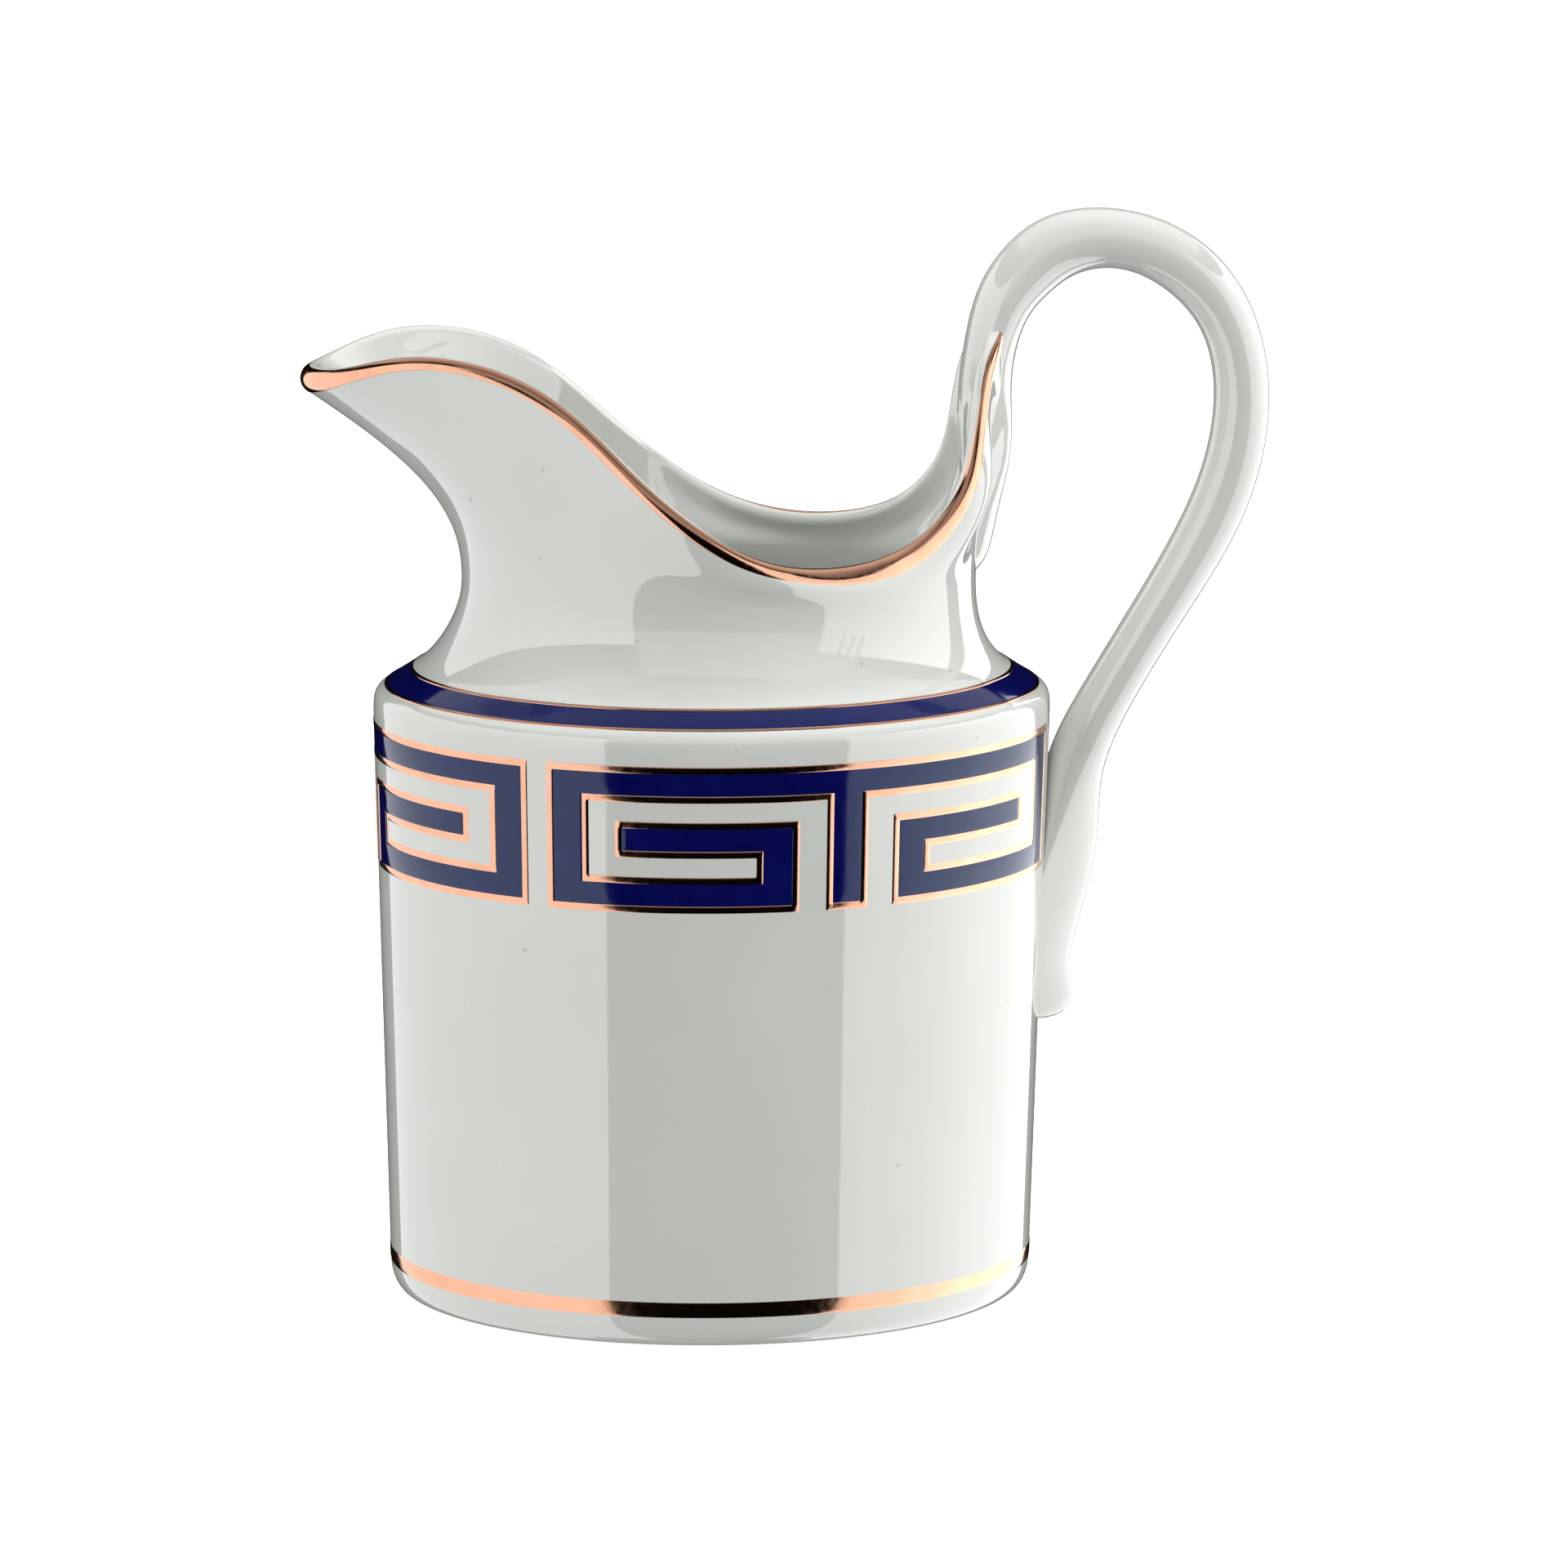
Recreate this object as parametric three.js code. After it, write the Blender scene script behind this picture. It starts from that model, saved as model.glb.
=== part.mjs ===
// Porcelain cream jug: an oval drum with a waisted neck, a long helmet-shaped spout, a rim that
// rises into a gutter at the back, and a high looped handle luted to the gutter and to the drum.
// Millimetres, +Z up, spout towards -X, handle towards +X, standing on z = 0.
import * as THREE from 'three';

// ---- driving dimensions -------------------------------------------------------------------
const COLUMNS = 48;              // facets round the body; every wrapped piece shares them
const FACET = 360 / COLUMNS;     // degrees from one facet's edge to the next
const OVAL_DRUM = 0.8;           // width / length of the drum's plan
const OVAL_WAIST = 0.765;        // width / length of the neck's plan
const WAIST_SHIFT = 0.8;         // the neck's centre lies this far towards the handle

const FOOT_OUTER = 37.6;         // half-length of the foot ring's resting face, outside
const FOOT_INNER = 34.2;         // half-length of the foot ring's resting face, inside
const FOOT_RECESS = 1.7;         // height of the recess inside the foot ring
const FOOT_DRAFT = 0.5;          // how far the foot ring's inner side slopes inwards
const BASE_DOME = 0.3;           // rise of the underside's middle
const FLOOR_DISH = 0.2;          // dip of the inside floor's middle
const DRUM_BASE = { a: 40.3, z: 3.9 };
const DRUM_TOP = { a: 42.15, z: 73.6 };
const SLOPE_LOW = { a: 41.1, z: 77.0 };
const SLOPE_HIGH = { a: 36.9, z: 79.65 };
const WAIST = { a: 31.95, z: 90.5 };
const WALL = 2.6;                // wall thickness of drum and neck
const FLOOR_TOP = 5.2;           // height of the inside floor
const LIP_RADIUS = 1.1;          // the lip is a half round of this radius
const SPOUT_FLARE = 1.95;        // how much more the wall leans out under the spout than its chord
const WAIST_ARM = 0.35;          // the neck wall's curve arms, as shares of its chord
const LIP_ARM = 0.45;
const WALL_SPEED = 1.35;         // the curve's length near the lip, per chord and unit of its parameter
const GILT_SKIRT = 0.5;          // how far the rim's gilding runs down the outside below the lip
const GILT_OPENING = 11;         // degrees each side of the handle that the rim's gilding leaves out

const SKIN_GAP = 0.1;            // clearance between the body and each skin of decoration
const RIM_GAP = 0.2;             // the same clearance under the rim's gilding, where the lip curves
const SKIN_THICKNESS = 0.22;     // thickness of each skin of decoration
const SKIN_SPACING = 0.1;        // clearance between cobalt and the gold beside it
const LINE_WIDTH = 0.5;          // gold lines on the shoulder
const SHOULDER_MARGIN = 0.35;    // white between the slope's corners and the gold lines
const BASE_LINE = { low: 4.0, high: 5.9 };   // heights of the gold line's edges

const FRET_BOTTOM = 54.9;
const FRET_HEIGHT = 18.1;
const FRET_GOLD = 0.85;          // width of the gold outline
const FRET_BAR = 5.35;           // width of an upright bar, gold included
const FRET_BEAM = 4.45;          // height of a level bar, gold included
const FRET_END_GAP = 3.25;       // white space beyond a scroll's free end
const FRET_SCROLL = 31.15;       // length of a scroll, from the unit's end
const FRET_UNIT_GAP = 2.6;       // white space between two units
const FRET_UNIT = 74.5;          // length of one unit
const FRET_FRONT_START = -23.0;  // arc length from the front to the front unit's left end
const HANDLE_CLEARING = 4.7;     // the fret is trimmed this far beyond the handle's centre

const HANDLE_SIDES = 14;
const HANDLE_STEPS = 2;          // loft steps between two of the handle's stations

// The rim's crest, half of it: [angle round the body in degrees, x, y, z]. The angle is 0 at the
// handle and 180 at the spout; the other half mirrors it.
const RIM = [
  [0, 35.0, 0, 121.5],
  [7.5, 34.0, 5.6, 120.5],
  [14.5, 32.5, 9.2, 117.0],
  [21, 31.3, 10.9, 111.0],
  [28, 29.6, 12.0, 104.4],
  [36, 26.2, 13.7, 99.4],
  [49, 20.0, 17.1, 96.2],
  [65, 12.0, 20.7, 95.4],
  [82, 4.0, 24.2, 97.0],
  [99, -4.0, 25.7, 101.2],
  [116, -12.0, 22.8, 107.9],
  [131, -20.0, 18.0, 115.0],
  [142, -28.0, 15.8, 119.0],
  [152, -36.0, 15.2, 120.2],
  [163, -43.0, 12.2, 119.0],
  [172, -47.8, 7.4, 117.4],
  [180, -50.6, 0, 116.7],
];

// The handle's outline in the plane y = 0, from its leaf-shaped upper end to its curled lower
// end: [outside x, outside z, inside x, inside z, half width]. Outside means away from the loop.
const HANDLE = [
  [33.5, 91.2, 34.0, 91.2, 1.4],
  [33.6, 93.5, 34.8, 93.5, 3.2],
  [34.0, 98.0, 35.5, 98.0, 4.6],
  [34.6, 105.0, 36.6, 105.0, 5.0],
  [35.4, 113.0, 37.0, 113.0, 4.6],
  [36.7, 121.0, 38.4, 121.0, 4.4],
  [33.3, 123.7, 39.5, 123.3, 4.3],
  [34.2, 128.6, 41.8, 126.0, 4.2],
  [39.6, 134.3, 44.6, 127.9, 4.1],
  [48.0, 136.2, 48.6, 128.7, 4.0],
  [57.9, 133.6, 53.9, 127.3, 4.0],
  [66.2, 125.2, 60.2, 121.6, 4.0],
  [69.3, 112.5, 62.4, 112.5, 4.0],
  [66.9, 99.0, 60.6, 102.2, 4.0],
  [59.9, 86.0, 54.0, 88.9, 4.0],
  [52.4, 73.5, 46.6, 76.4, 4.1],
  [49.0, 65.0, 42.7, 66.6, 4.3],
  [48.5, 57.0, 42.3, 57.5, 4.4],
  [46.4, 46.4, 42.1, 46.4, 4.5],
  [45.2, 41.0, 41.9, 41.0, 3.6],
  [45.6, 37.6, 41.9, 37.8, 2.9],
  [44.2, 34.8, 42.1, 35.2, 1.9],
];

const RAD = Math.PI / 180;

// ---- materials ----------------------------------------------------------------------------
function material(color, roughness, metalness) {
  return new THREE.MeshStandardMaterial({ color, roughness, metalness });
}

const porcelain = () => material(0xe6e8e2, 0.12, 0);
const cobalt = () => material(0x0c1250, 0.15, 0);
const gold = () => material(0xe0a27c, 0.22, 1);

// ---- curves -------------------------------------------------------------------------------
// A cubic through two neighbouring values, with Catmull-Rom slopes taken over uneven keys.
function cubic(keys, values, i, key) {
  const slope = (k) => {
    const a = Math.max(k - 1, 0);
    const b = Math.min(k + 1, keys.length - 1);
    return (values[b] - values[a]) / (keys[b] - keys[a]);
  };
  const span = keys[i + 1] - keys[i];
  const t = (key - keys[i]) / span;
  const h00 = 2 * t ** 3 - 3 * t ** 2 + 1;
  const h10 = t ** 3 - 2 * t ** 2 + t;
  return h00 * values[i] + (1 - h00) * values[i + 1]
    + h10 * span * slope(i) + (t ** 3 - t ** 2) * span * slope(i + 1);
}

// The rim stations over the full turn, with one mirrored station past each end.
const rimStations = [
  ...RIM.slice(1, 3).reverse().map(([angle, x, y, z]) => [-angle, x, -y, z]),
  ...RIM,
  ...RIM.slice(1, -1).reverse().map(([angle, x, y, z]) => [360 - angle, x, -y, z]),
  [360, ...RIM[0].slice(1)],
  ...RIM.slice(1, 3).map(([angle, x, y, z]) => [360 + angle, x, y, z]),
];
const rimKeys = rimStations.map((station) => station[0]);

function rimPoint(degrees) {
  const i = rimKeys.findLastIndex((key) => key <= degrees);
  const at = (n) => cubic(rimKeys, rimStations.map((station) => station[n]), i, degrees);
  return new THREE.Vector3(at(1), at(2), at(3));
}

// The outside profile, as half-length against height, and the inside one, from below upwards.
// Each curve of the path is cut into the steps given by its index, and a straight line is left whole.
function profileRows(path, curveSteps) {
  const rows = [];
  path.curves.forEach((curve, index) => {
    const points = curve.getPoints(curve instanceof THREE.LineCurve ? 1 : curveSteps[index]);
    rows.push(...(index ? points.slice(1) : points));
  });
  return rows.map((point) => ({ a: point.x, z: point.y }));
}

const outside = new THREE.Path();
outside.moveTo(FOOT_OUTER, 0);
outside.bezierCurveTo(39.3, 0.1, 40.2, 1.5, DRUM_BASE.a, DRUM_BASE.z);
outside.lineTo(DRUM_TOP.a, DRUM_TOP.z);
outside.bezierCurveTo(42.2, 75.6, 42.1, 76.4, SLOPE_LOW.a, SLOPE_LOW.z);
outside.lineTo(SLOPE_HIGH.a, SLOPE_HIGH.z);
outside.bezierCurveTo(34.3, 81.3, WAIST.a, 85.6, WAIST.a, WAIST.z);
const outsideRows = profileRows(outside, { 0: 3, 2: 3, 4: 5 });

const inside = new THREE.Path();
inside.moveTo(30, FLOOR_TOP);
inside.bezierCurveTo(35.6, FLOOR_TOP, 37.7, 6.8, 37.9, 11);
inside.lineTo(DRUM_TOP.a - WALL, DRUM_TOP.z - 1);
inside.bezierCurveTo(39.5, 75.2, 38.6, 75.6, 35.6, 77.3);
inside.bezierCurveTo(32, 79.4, WAIST.a - WALL, 84.2, WAIST.a - WALL, WAIST.z);
const insideRows = profileRows(inside, { 0: 3, 2: 2, 3: 4 });

// ---- the body's rings -----------------------------------------------------------------------
// How far the plan has changed from the drum's to the neck's, from 0 at the shoulder to 1.
const necking = (z) => THREE.MathUtils.smoothstep(z, SLOPE_HIGH.z, WAIST.z);

function ovalPoint({ a, z }, degrees, offset = 0) {
  const oval = THREE.MathUtils.lerp(OVAL_DRUM, OVAL_WAIST, necking(z));
  const x = (a + offset) * Math.cos(degrees * RAD) + WAIST_SHIFT * necking(z);
  return new THREE.Vector3(x, (a * oval + offset) * Math.sin(degrees * RAD), z);
}

// The lip at one angle: its centre, the way out through the wall, and the way up along it.
function lip(degrees) {
  const crest = rimPoint(degrees);
  const along = rimPoint(degrees + 0.5).sub(rimPoint(degrees - 0.5)).normalize();
  const rise = crest.clone().sub(ovalPoint(WAIST, degrees));
  const flare = THREE.MathUtils.lerp(1, SPOUT_FLARE, (1 - Math.cos(degrees * RAD)) / 2);
  const up = new THREE.Vector3(rise.x * flare, rise.y * flare, rise.z);
  up.addScaledVector(along, -up.dot(along)).normalize();
  const out = along.clone().cross(up).normalize();
  return { centre: crest.addScaledVector(up, -LIP_RADIUS), up, out };
}

// The wall from the waist to the lip, on the outside (side 1) or the inside (side -1).
function neckCurve(degrees, side) {
  const { centre, up, out } = lip(degrees);
  const low = ovalPoint({ a: side > 0 ? WAIST.a : WAIST.a - WALL, z: WAIST.z }, degrees);
  const high = centre.addScaledVector(out, side * LIP_RADIUS);
  const chord = low.distanceTo(high);
  const lowArm = low.clone().add(new THREE.Vector3(0, 0, WAIST_ARM * chord));
  const highArm = high.clone().addScaledVector(up, -LIP_ARM * chord);
  const curve = new THREE.CubicBezierCurve3(low, lowArm, highArm, high);
  return { curve, skirt: 1 - GILT_SKIRT / (WALL_SPEED * chord) };
}

const angles = Array.from({ length: COLUMNS }, (_, i) => i * FACET);
const NECK_STEPS = [0.2, 0.4, 0.6, 0.8];
const LIP_ANGLES = [0, 45, 90, 135, 180];

const lipRow = (turn, offset = 0) => angles.map((degrees) => {
  const { centre, up, out } = lip(degrees);
  const radius = LIP_RADIUS + offset;
  centre.addScaledVector(out, radius * Math.cos(turn * RAD));
  return centre.addScaledVector(up, radius * Math.sin(turn * RAD));
});
const skirtRow = (offset = 0) => angles.map((degrees) => {
  const { curve, skirt } = neckCurve(degrees, 1);
  return curve.getPoint(skirt).addScaledVector(lip(degrees).out, offset);
});
const neckRow = (side, step) => angles.map((degrees) => {
  const { curve, skirt } = neckCurve(degrees, side);
  return curve.getPoint(step * (side > 0 ? skirt : 1));
});
const ovalRow = (row) => angles.map((degrees) => ovalPoint(row, degrees));

// ---- building closed solids -------------------------------------------------------------------
function solid(name, finish, positions, faces) {
  const geometry = new THREE.BufferGeometry();
  geometry.setAttribute('position', new THREE.Float32BufferAttribute(positions, 3));
  geometry.setIndex(faces);
  geometry.computeVertexNormals();
  const mesh = new THREE.Mesh(geometry, finish);
  mesh.name = name;
  return mesh;
}

// Rows of points, closed round the rows; `first` and `last` are poles, or the rows close up.
function rowSolid(name, finish, rows, first, last) {
  const count = rows[0].length;
  const points = rows.flat();
  const faces = [];
  const rowPairs = first ? rows.length - 1 : rows.length;
  for (let r = 0; r < rowPairs; r += 1) {
    const next = (r + 1) % rows.length;
    for (let c = 0; c < count; c += 1) {
      const d = (c + 1) % count;
      faces.push(r * count + c, r * count + d, next * count + d);
      faces.push(r * count + c, next * count + d, next * count + c);
    }
  }
  if (first) {
    const top = (rows.length - 1) * count;
    points.push(first, last);
    for (let c = 0; c < count; c += 1) {
      const d = (c + 1) % count;
      faces.push(points.length - 2, d, c);
      faces.push(points.length - 1, top + c, top + d);
    }
  }
  return solid(name, finish, points.flatMap((point) => point.toArray()), faces);
}

// A skin of cells over a grid of arc lengths and heights: filled(i, j) says which cells exist.
function cellSolid(name, finish, grid, filled, place) {
  const positions = [];
  const numbers = new Map();
  const faces = [];
  const corner = (i, j, layer) => {
    const key = `${i},${j},${layer}`;
    if (!numbers.has(key)) {
      numbers.set(key, numbers.size);
      positions.push(...place(grid.across[i], grid.up[j], layer).toArray());
    }
    return numbers.get(key);
  };
  const quad = (a, b, c, d) => faces.push(a, b, c, a, c, d);
  for (let i = 0; i < grid.across.length - 1; i += 1) {
    for (let j = 0; j < grid.up.length - 1; j += 1) {
      if (!filled(i, j)) continue;
      const [low, high] = [0, 1].map((layer) => [
        corner(i, j, layer),
        corner(i + 1, j, layer),
        corner(i + 1, j + 1, layer),
        corner(i, j + 1, layer),
      ]);
      quad(...high);
      quad(...low.toReversed());
      if (!filled(i, j - 1)) quad(low[0], low[1], high[1], high[0]);
      if (!filled(i + 1, j)) quad(low[1], low[2], high[2], high[1]);
      if (!filled(i, j + 1)) quad(low[2], low[3], high[3], high[2]);
      if (!filled(i - 1, j)) quad(low[3], low[0], high[0], high[3]);
    }
  }
  return solid(name, finish, positions, faces);
}

// ---- body ---------------------------------------------------------------------------------------
function jugBody() {
  const rows = [
    ovalRow({ a: FOOT_INNER - FOOT_DRAFT, z: FOOT_RECESS }),
    ovalRow({ a: FOOT_INNER, z: 0 }),
    ...outsideRows.map(ovalRow),
    ...NECK_STEPS.map((step) => neckRow(1, step)),
    skirtRow(),
    ...LIP_ANGLES.map((turn) => lipRow(turn)),
    ...NECK_STEPS.toReversed().map((step) => neckRow(-1, step)),
    ...insideRows.toReversed().map(ovalRow),
  ];
  const underside = new THREE.Vector3(0, 0, FOOT_RECESS + BASE_DOME);
  const floor = new THREE.Vector3(0, 0, FLOOR_TOP - FLOOR_DISH);
  return rowSolid('jug_body', porcelain(), rows, underside, floor);
}

// ---- handle -------------------------------------------------------------------------------------
function handle() {
  const keys = HANDLE.map((_, i) => i);
  const at = (n, key) => {
    const i = Math.min(Math.floor(key), HANDLE.length - 2);
    return cubic(keys, HANDLE.map((station) => station[n]), i, key);
  };
  const rows = [];
  for (let step = 0; step <= (HANDLE.length - 1) * HANDLE_STEPS; step += 1) {
    const [outX, outZ, inX, inZ, halfWidth] = [0, 1, 2, 3, 4].map((n) => at(n, step / HANDLE_STEPS));
    const centre = new THREE.Vector3((outX + inX) / 2, 0, (outZ + inZ) / 2);
    const depth = new THREE.Vector3((outX - inX) / 2, 0, (outZ - inZ) / 2);
    rows.push(Array.from({ length: HANDLE_SIDES }, (_, side) => {
      const turn = (side / HANDLE_SIDES) * 2 * Math.PI;
      const point = centre.clone().addScaledVector(depth, Math.cos(turn));
      point.y = -halfWidth * Math.sin(turn);
      return point;
    }));
  }
  const middle = (row) => row.reduce((sum, point) => sum.add(point), new THREE.Vector3())
    .divideScalar(row.length);
  return rowSolid('handle', porcelain(), rows, middle(rows[0]), middle(rows.at(-1)));
}

// ---- lines and bands round the body -------------------------------------------------------------
// A band between two points of the outside profile, lying on the straight stretch between them.
function ovalBand(name, finish, low, high) {
  const length = Math.hypot(high.a - low.a, high.z - low.z);
  const normal = { a: (high.z - low.z) / length, z: (low.a - high.a) / length };
  const row = (point, offset) => angles.map((degrees) => (
    ovalPoint({ a: point.a, z: point.z }, degrees, offset * normal.a)
      .add(new THREE.Vector3(0, 0, offset * normal.z))
  ));
  const near = SKIN_GAP;
  const far = SKIN_GAP + SKIN_THICKNESS;
  return rowSolid(name, finish, [row(low, near), row(low, far), row(high, far), row(high, near)]);
}

function shoulderBands() {
  const length = Math.hypot(SLOPE_HIGH.a - SLOPE_LOW.a, SLOPE_HIGH.z - SLOPE_LOW.z);
  const at = (distance) => ({
    a: THREE.MathUtils.lerp(SLOPE_LOW.a, SLOPE_HIGH.a, distance / length),
    z: THREE.MathUtils.lerp(SLOPE_LOW.z, SLOPE_HIGH.z, distance / length),
  });
  const inner = SHOULDER_MARGIN + LINE_WIDTH;
  return [
    ovalBand('shoulder_gold_line_lower', gold(), at(SHOULDER_MARGIN), at(inner)),
    ovalBand(
      'shoulder_cobalt_band',
      cobalt(),
      at(inner + SKIN_SPACING),
      at(length - inner - SKIN_SPACING),
    ),
    ovalBand('shoulder_gold_line_upper', gold(), at(length - inner), at(length - SHOULDER_MARGIN)),
  ];
}

const drumAt = (z) => ({
  a: THREE.MathUtils.mapLinear(z, DRUM_BASE.z, DRUM_TOP.z, DRUM_BASE.a, DRUM_TOP.a),
  z,
});

// The gilding over the lip, open at the back, where the handle leaves the gutter.
function rimGilding() {
  const open = Math.ceil(GILT_OPENING / FACET);
  const across = angles.map((_, i) => i).slice(open, COLUMNS - open + 1);
  const turns = [0, 45, 90, 135];
  const layers = [RIM_GAP, RIM_GAP + SKIN_THICKNESS]
    .map((offset) => [skirtRow(offset), ...turns.map((turn) => lipRow(turn, offset))]);
  const grid = { across, up: [0, ...turns.keys().map((i) => i + 1)] };
  const filled = (i, j) => i >= 0 && i < across.length - 1 && j >= 0 && j < turns.length;
  const place = (column, row, layer) => layers[layer][row][column];
  return cellSolid('rim_gold_line', gold(), grid, filled, place);
}

// ---- key fret -------------------------------------------------------------------------------------
// Arc length along the drum's plan from the front (-Y), growing towards the handle.
const arcTable = (() => {
  const steps = 720;
  const table = [{ degrees: -270, arc: 0 }];
  const { a } = drumAt(FRET_BOTTOM + FRET_HEIGHT / 2);
  for (let i = 1; i <= steps; i += 1) {
    const degrees = -270 + (i * 360) / steps;
    const middle = (degrees - 180 / steps) * RAD;
    const rate = a * Math.hypot(Math.sin(middle), OVAL_DRUM * Math.cos(middle));
    table.push({ degrees, arc: table[i - 1].arc + rate * ((360 / steps) * RAD) });
  }
  const front = table[steps / 2].arc;
  return table.map(({ degrees, arc }) => ({ degrees, arc: arc - front }));
})();
const perimeter = 2 * arcTable.at(-1).arc;
const arcAtHandle = perimeter / 4;

function between(table, from, to, value) {
  const i = Math.max(1, table.findIndex((entry) => entry[from] >= value));
  const [low, high] = [table[i - 1], table[i]];
  return THREE.MathUtils.mapLinear(value, low[from], high[from], low[to], high[to]);
}

// A point on the faceted drum: along the flat facet that holds this arc length.
function drumPoint(arc, z, offset) {
  const wrapped = THREE.MathUtils.euclideanModulo(arc + perimeter / 2, perimeter) - perimeter / 2;
  const position = between(arcTable, 'arc', 'degrees', wrapped) / FACET;
  const start = Math.floor(position + 1e-6);
  const low = ovalPoint(drumAt(z), start * FACET, offset);
  return low.lerp(ovalPoint(drumAt(z), (start + 1) * FACET, offset), Math.max(0, position - start));
}

// One unit's bars as [from, to, bottom, top], measured from the unit's left end.
const scrollRise = (FRET_HEIGHT - 3 * FRET_BEAM) / 2;
const halfUnit = [
  [0, FRET_BAR, 0, FRET_HEIGHT],
  [0, FRET_SCROLL, 0, FRET_BEAM],
  [FRET_SCROLL - FRET_BAR, FRET_SCROLL, 0, 2 * FRET_BEAM + scrollRise],
  [FRET_BAR + FRET_END_GAP, FRET_SCROLL, FRET_BEAM + scrollRise, 2 * FRET_BEAM + scrollRise],
];
const unitBars = [
  [0, FRET_UNIT, FRET_HEIGHT - FRET_BEAM, FRET_HEIGHT],
  [(FRET_UNIT - FRET_BAR) / 2, (FRET_UNIT + FRET_BAR) / 2, 0, FRET_HEIGHT],
  ...halfUnit,
  ...halfUnit.map(([from, to, bottom, top]) => [FRET_UNIT - to, FRET_UNIT - from, bottom, top]),
];

const inBars = (bars, x, z) => bars.some(([from, to, bottom, top]) => (
  x > from && x < to && z > bottom && z < top
));
const shrunk = (bars, inset) => bars.map(([from, to, bottom, top]) => (
  [from + inset, to - inset, bottom + inset, top - inset]
));
const sorted = (values) => [...values].sort((p, q) => p - q)
  .filter((value, i, all) => i === 0 || value - all[i - 1] > 0.02);

// One fret piece, begun at arc length `start`: the cells inside `bars` and outside `holes`. Only the
// last unit begins past the front's middle, and it leaves room for the handle.
function fretPiece(name, finish, start, bars, holes) {
  const trim = start > 0 ? arcAtHandle + HANDLE_CLEARING - start : 0;
  const edges = [...bars, ...holes];
  const facets = [];
  for (let degrees = -270; degrees <= 450; degrees += FACET) {
    const turns = Math.floor((degrees + 270) / 360);
    facets.push(between(arcTable, 'degrees', 'arc', degrees - 360 * turns) + turns * perimeter - start);
  }
  const uprights = edges.flatMap((bar) => bar.slice(0, 2));
  const first = Math.max(trim, Math.min(...uprights));
  const last = Math.max(...uprights);
  const across = sorted([first, ...uprights, ...facets].filter((x) => x >= first && x <= last));
  const up = sorted(edges.flatMap((bar) => bar.slice(2)));
  const filled = (i, j) => {
    if (i < 0 || j < 0 || i >= across.length - 1 || j >= up.length - 1) return false;
    const x = (across[i] + across[i + 1]) / 2;
    const z = (up[j] + up[j + 1]) / 2;
    return inBars(bars, x, z) && !inBars(holes, x, z);
  };
  return cellSolid(name, finish, { across, up }, filled, (x, z, layer) => (
    drumPoint(start + x, FRET_BOTTOM + z, SKIN_GAP + layer * SKIN_THICKNESS)
  ));
}

// Three units run round the drum from the handle; the last one is trimmed where the handle stands.
function fret() {
  const blue = shrunk(unitBars, FRET_GOLD + SKIN_SPACING);
  const hollow = shrunk(unitBars, FRET_GOLD);
  return ['spout', 'front', 'back'].flatMap((place, i) => {
    const start = FRET_FRONT_START + (i - 1) * (FRET_UNIT + FRET_UNIT_GAP);
    const wrapped = i === 2 ? start + perimeter - 3 * (FRET_UNIT + FRET_UNIT_GAP) : start;
    return [
      fretPiece(`fret_cobalt_${place}`, cobalt(), wrapped, blue, []),
      fretPiece(`fret_gold_${place}`, gold(), wrapped, unitBars, hollow),
    ];
  });
}

// ---- assembly -------------------------------------------------------------------------------------
const jug = new THREE.Group();
jug.add(
  jugBody(),
  handle(),
  rimGilding(),
  ...shoulderBands(),
  ...fret(),
  ovalBand('base_gold_line', gold(), drumAt(BASE_LINE.low), drumAt(BASE_LINE.high)),
);

// The origin is under the middle of the whole jug's length, on the surface it stands on.
const extent = new THREE.Box3().setFromObject(jug);
jug.position.x = -(extent.min.x + extent.max.x) / 2;

export default jug;
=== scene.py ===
"""Porcelain cream jug: finished surfaces, materials, light and camera around the CAD frame.

Lengths are millimetres from the body's own axis, and place() turns them into the frame's metres.
Angles round the body are degrees: 0 at the handle, -90 at the front and 180 at the spout.
"""

import math

import bpy
import numpy as np
from mathutils import Matrix, Vector


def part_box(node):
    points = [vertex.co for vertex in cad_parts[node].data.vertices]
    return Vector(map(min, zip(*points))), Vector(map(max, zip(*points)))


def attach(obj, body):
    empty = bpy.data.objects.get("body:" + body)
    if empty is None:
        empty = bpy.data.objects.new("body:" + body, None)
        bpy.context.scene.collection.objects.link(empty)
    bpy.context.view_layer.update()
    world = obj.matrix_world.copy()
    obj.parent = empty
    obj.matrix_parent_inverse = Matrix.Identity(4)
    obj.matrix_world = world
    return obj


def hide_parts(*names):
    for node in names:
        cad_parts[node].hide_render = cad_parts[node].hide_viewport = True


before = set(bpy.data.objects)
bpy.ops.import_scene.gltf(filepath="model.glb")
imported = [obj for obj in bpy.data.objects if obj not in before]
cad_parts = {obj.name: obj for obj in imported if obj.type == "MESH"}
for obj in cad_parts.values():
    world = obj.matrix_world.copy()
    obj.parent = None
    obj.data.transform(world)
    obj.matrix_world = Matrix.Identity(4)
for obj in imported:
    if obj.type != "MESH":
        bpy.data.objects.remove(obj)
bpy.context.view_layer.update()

# ---- sizes taken from the frame ------------------------------------------------------------------
MM = 0.001


def box_mm(node):
    low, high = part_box(node)
    return np.array(low) / MM, np.array(high) / MM


base_low, base_high = box_mm("base_gold_line")
fret_low, fret_high = box_mm("fret_gold_front")
AXIS_X = (base_low[0] + base_high[0]) / 2      # the body's axis in the frame

# ---- driving dimensions --------------------------------------------------------------------------
COLUMNS = 320                    # steps round the body
OVAL_DRUM = 0.8                  # width / length of the drum's plan
OVAL_WAIST = 0.765               # width / length of the neck's plan
WAIST_SHIFT = 0.8                # the neck's centre lies this far towards the handle

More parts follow.
